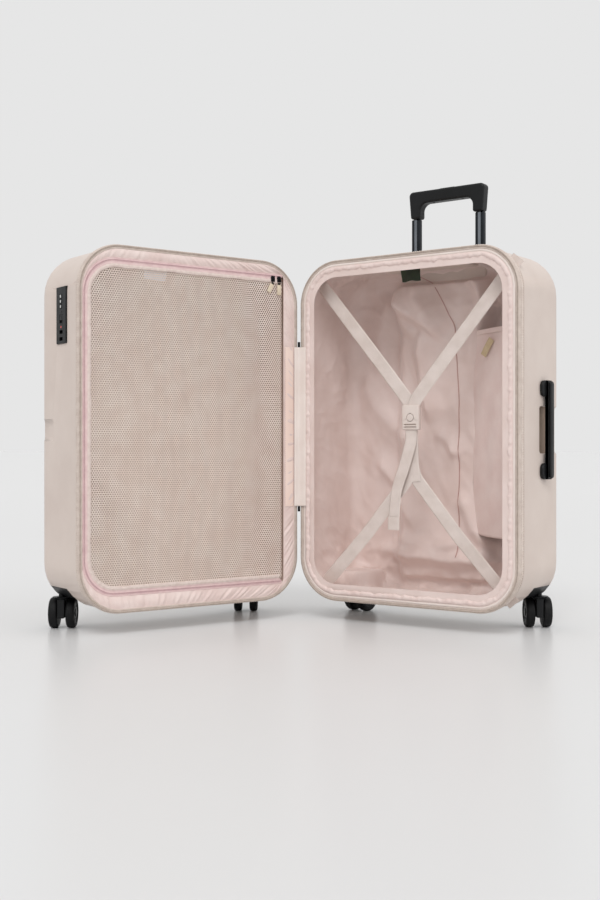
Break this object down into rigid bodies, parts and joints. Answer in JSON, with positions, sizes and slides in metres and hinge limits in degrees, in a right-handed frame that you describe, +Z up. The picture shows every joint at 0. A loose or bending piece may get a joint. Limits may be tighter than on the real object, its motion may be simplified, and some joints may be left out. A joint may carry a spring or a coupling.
{
  "type": "hard shell suitcase",
  "caption": "Upright hard shell travel case opened like a book, with a zipped mesh divider, crossed packing straps, a telescoping handle and swivelling casters.",
  "frame": {"origin": "on the floor under the middle of the bounding box of the opened case", "axes": "+Z up; the back half opens towards -Y and the case hinge stands at its -X edge; the front half is turned 107 degrees open about that hinge"},
  "size_m": [0.7606, 0.6258, 0.8125],
  "materials": {
    "shell_polycarbonate": "satin moulded shell, fine texture",
    "rim_tape": "zip tape and teeth",
    "lining_fabric": "satin woven lining",
    "divider_mesh": "open honeycomb mesh",
    "webbing": "woven webbing",
    "cover_leather": "smooth leather look",
    "leather_tab": "zip tab",
    "buckle_plastic": "moulded buckle",
    "black_plastic": "black moulding",
    "satin_black_metal": "black anodised"
  },
  "bodies": {
    "back_case": {"back_shell": "shell_polycarbonate", "back_lining": "lining_fabric", "side_pocket": "lining_fabric", "expander_zip": "rim_tape", "upper_straps": "webbing", "lower_straps": "webbing", "strap_tail": "webbing", "buckle_body": "buckle_plastic", "trolley_collar": "black_plastic", "trolley_outer_left": "satin_black_metal", "trolley_outer_right": "satin_black_metal", "side_handle_mount_lower": "black_plastic", "side_handle_mount_upper": "black_plastic", "top_handle_base": "black_plastic", "caster_housing_back_left": "black_plastic", "caster_housing_back_right": "black_plastic"},
    "rim_frame": {"back_rim": "rim_tape", "expansion_gusset": "lining_fabric", "hinge_tape": "rim_tape", "hinge_cover_back": "lining_fabric"},
    "front_case": {"front_shell": "shell_polycarbonate", "front_lining": "lining_fabric", "front_rim": "rim_tape", "divider_border": "lining_fabric", "hinge_cover_front": "cover_leather", "lock_body": "black_plastic", "caster_housing_front_left": "black_plastic", "caster_housing_front_right": "black_plastic"},
    "divider_door": {"divider_door": "divider_mesh"},
    "divider_slider_one": {"divider_slider_one": "satin_black_metal"},
    "divider_slider_two": {"divider_slider_two": "satin_black_metal"},
    "divider_tab_one": {"divider_tab_one": "leather_tab"},
    "divider_tab_two": {"divider_tab_two": "leather_tab"},
    "trolley_middle": {"trolley_middle_left": "satin_black_metal", "trolley_middle_right": "satin_black_metal"},
    "trolley_inner": {"trolley_inner_left": "satin_black_metal", "trolley_inner_right": "satin_black_metal", "trolley_grip": "black_plastic"},
    "trolley_button": {"trolley_button": "black_plastic"},
    "side_handle": {"side_handle_bar": "black_plastic"},
    "top_handle": {"top_handle_bar": "black_plastic"},
    "buckle_button": {"buckle_button": "buckle_plastic"},
    "lock_slide": {"lock_slide": "black_plastic"},
    "main_zip_slider_upper": {"main_zip_slider_upper": "satin_black_metal"},
    "main_zip_slider_lower": {"main_zip_slider_lower": "satin_black_metal"},
    "lock_dial_upper": {"lock_dial_upper": "black_plastic"},
    "lock_dial_middle": {"lock_dial_middle": "black_plastic"},
    "lock_dial_lower": {"lock_dial_lower": "black_plastic"},
    "caster_back_left": {"caster_fork_back_left": "black_plastic"},
    "wheel_back_left_a": {"wheel_back_left_a": "black_plastic"},
    "wheel_back_left_b": {"wheel_back_left_b": "black_plastic"},
    "caster_back_right": {"caster_fork_back_right": "black_plastic"},
    "wheel_back_right_a": {"wheel_back_right_a": "black_plastic"},
    "wheel_back_right_b": {"wheel_back_right_b": "black_plastic"},
    "caster_front_left": {"caster_fork_front_left": "black_plastic"},
    "wheel_front_left_a": {"wheel_front_left_a": "black_plastic"},
    "wheel_front_left_b": {"wheel_front_left_b": "black_plastic"},
    "caster_front_right": {"caster_fork_front_right": "black_plastic"},
    "wheel_front_right_a": {"wheel_front_right_a": "black_plastic"},
    "wheel_front_right_b": {"wheel_front_right_b": "black_plastic"}
  },
  "joints": [
    {"name": "case_hinge", "type": "hinge", "parent": "rim_frame", "child": "front_case", "pos_m": [-0.08883, 0.12502, 0], "axis": [0, 0, -1], "range_deg": [-107, 73]},
    {"name": "expander", "type": "slide", "parent": "back_case", "child": "rim_frame", "axis": [0, -1, 0], "range_m": [0, 0.04]},
    {"name": "trolley_inner_stage", "type": "slide", "parent": "trolley_middle", "child": "trolley_inner", "axis": [0, 0, 1], "range_m": [-0.137, 0.063]},
    {"name": "trolley_middle_stage", "type": "slide", "parent": "back_case", "child": "trolley_middle", "axis": [0, 0, 1], "range_m": [0, 0.2]},
    {"name": "divider_door_hinge", "type": "hinge", "parent": "front_case", "child": "divider_door", "pos_m": [-0.10357, 0.08979, 0], "axis": [0, 0, 1], "range_deg": [0, 100]},
    {"name": "side_handle_lift", "type": "slide", "parent": "back_case", "child": "side_handle", "axis": [1, 0, 0], "range_m": [0, 0.005]},
    {"name": "trolley_button_press", "type": "slide", "parent": "trolley_inner", "child": "trolley_button", "axis": [0, 0, -1], "range_m": [0, 0.0025], "stiffness_N_per_m": 400},
    {"name": "top_handle_lift", "type": "slide", "parent": "back_case", "child": "top_handle", "axis": [0, 0, 1], "range_m": [0, 0.005]},
    {"name": "buckle_button_press", "type": "slide", "parent": "back_case", "child": "buckle_button", "axis": [0, 1, 0], "range_m": [0, 0.0018], "stiffness_N_per_m": 300},
    {"name": "lock_slide_pull", "type": "slide", "parent": "front_case", "child": "lock_slide", "axis": [0, 0, -1], "range_m": [0, 0.005], "stiffness_N_per_m": 150},
    {"name": "divider_slider_two_run", "type": "slide", "parent": "divider_door", "child": "divider_slider_two", "axis": [-0.2924, -0.9563, 0], "range_m": [0, 0.3]},
    {"name": "divider_tab_two_swing", "type": "hinge", "parent": "divider_slider_two", "child": "divider_tab_two", "pos_m": [-0.10742, 0.069, 0.6301], "axis": [-0.2924, -0.9563, 0], "range_deg": [0, 100]},
    {"name": "divider_slider_one_run", "type": "slide", "parent": "divider_door", "child": "divider_slider_one", "axis": [-0.2924, -0.9563, 0], "range_m": [0, 0.005]},
    {"name": "divider_tab_one_swing", "type": "hinge", "parent": "divider_slider_one", "child": "divider_tab_one", "pos_m": [-0.10332, 0.08239, 0.6301], "axis": [-0.2924, -0.9563, 0], "range_deg": [0, 100]},
    {"name": "lock_dial_upper_turn", "type": "hinge", "parent": "front_case", "child": "lock_dial_upper", "pos_m": [-0.28794, -0.28341, 0.581], "axis": [0, 0, 1], "continuous": true},
    {"name": "lock_dial_middle_turn", "type": "hinge", "parent": "front_case", "child": "lock_dial_middle", "pos_m": [-0.28794, -0.28341, 0.5724], "axis": [0, 0, 1], "continuous": true},
    {"name": "lock_dial_lower_turn", "type": "hinge", "parent": "front_case", "child": "lock_dial_lower", "pos_m": [-0.28794, -0.28341, 0.5638], "axis": [0, 0, 1], "continuous": true},
    {"name": "main_zip_slider_upper_run", "type": "slide", "parent": "rim_frame", "child": "main_zip_slider_upper", "axis": [0, 0, 1], "range_m": [0, 0.06]},
    {"name": "main_zip_slider_lower_run", "type": "slide", "parent": "rim_frame", "child": "main_zip_slider_lower", "axis": [0, 0, -1], "range_m": [0, 0.06]},
    {"name": "caster_back_left_swivel", "type": "hinge", "parent": "back_case", "child": "caster_back_left", "pos_m": [-0.05483, 0.26702, 0], "axis": [0, 0, 1], "continuous": true},
    {"name": "caster_back_right_swivel", "type": "hinge", "parent": "back_case", "child": "caster_back_right", "pos_m": [0.33817, 0.26702, 0], "axis": [0, 0, 1], "continuous": true},
    {"name": "caster_front_left_swivel", "type": "hinge", "parent": "front_case", "child": "caster_front_left", "pos_m": [-0.22309, 0.13051, 0], "axis": [0, 0, 1], "continuous": true},
    {"name": "caster_front_right_swivel", "type": "hinge", "parent": "front_case", "child": "caster_front_right", "pos_m": [-0.33799, -0.24532, 0], "axis": [0, 0, 1], "continuous": true},
    {"name": "wheel_back_left_a_spin", "type": "hinge", "parent": "caster_back_left", "child": "wheel_back_left_a", "pos_m": [-0.03863, 0.28206, 0.027], "axis": [0.9981, -0.061, 0], "continuous": true},
    {"name": "wheel_back_left_b_spin", "type": "hinge", "parent": "caster_back_left", "child": "wheel_back_left_b", "pos_m": [-0.06907, 0.28392, 0.027], "axis": [0.9981, -0.061, 0], "continuous": true},
    {"name": "wheel_back_right_a_spin", "type": "hinge", "parent": "caster_back_right", "child": "wheel_back_right_a", "pos_m": [0.34091, 0.28895, 0.027], "axis": [0.8039, 0.5948, 0], "continuous": true},
    {"name": "wheel_back_right_b_spin", "type": "hinge", "parent": "caster_back_right", "child": "wheel_back_right_b", "pos_m": [0.3164, 0.27081, 0.027], "axis": [0.8039, 0.5948, 0], "continuous": true},
    {"name": "wheel_front_left_a_spin", "type": "hinge", "parent": "caster_front_left", "child": "wheel_front_left_a", "pos_m": [-0.22035, 0.15244, 0.027], "axis": [0.8039, 0.5948, 0], "continuous": true},
    {"name": "wheel_front_left_b_spin", "type": "hinge", "parent": "caster_front_left", "child": "wheel_front_left_b", "pos_m": [-0.24486, 0.1343, 0.027], "axis": [0.8039, 0.5948, 0], "continuous": true},
    {"name": "wheel_front_right_a_spin", "type": "hinge", "parent": "caster_front_right", "child": "wheel_front_right_a", "pos_m": [-0.33525, -0.22339, 0.027], "axis": [0.8039, 0.5948, 0], "continuous": true},
    {"name": "wheel_front_right_b_spin", "type": "hinge", "parent": "caster_front_right", "child": "wheel_front_right_b", "pos_m": [-0.35977, -0.24153, 0.027], "axis": [0.8039, 0.5948, 0], "continuous": true}
  ]
}
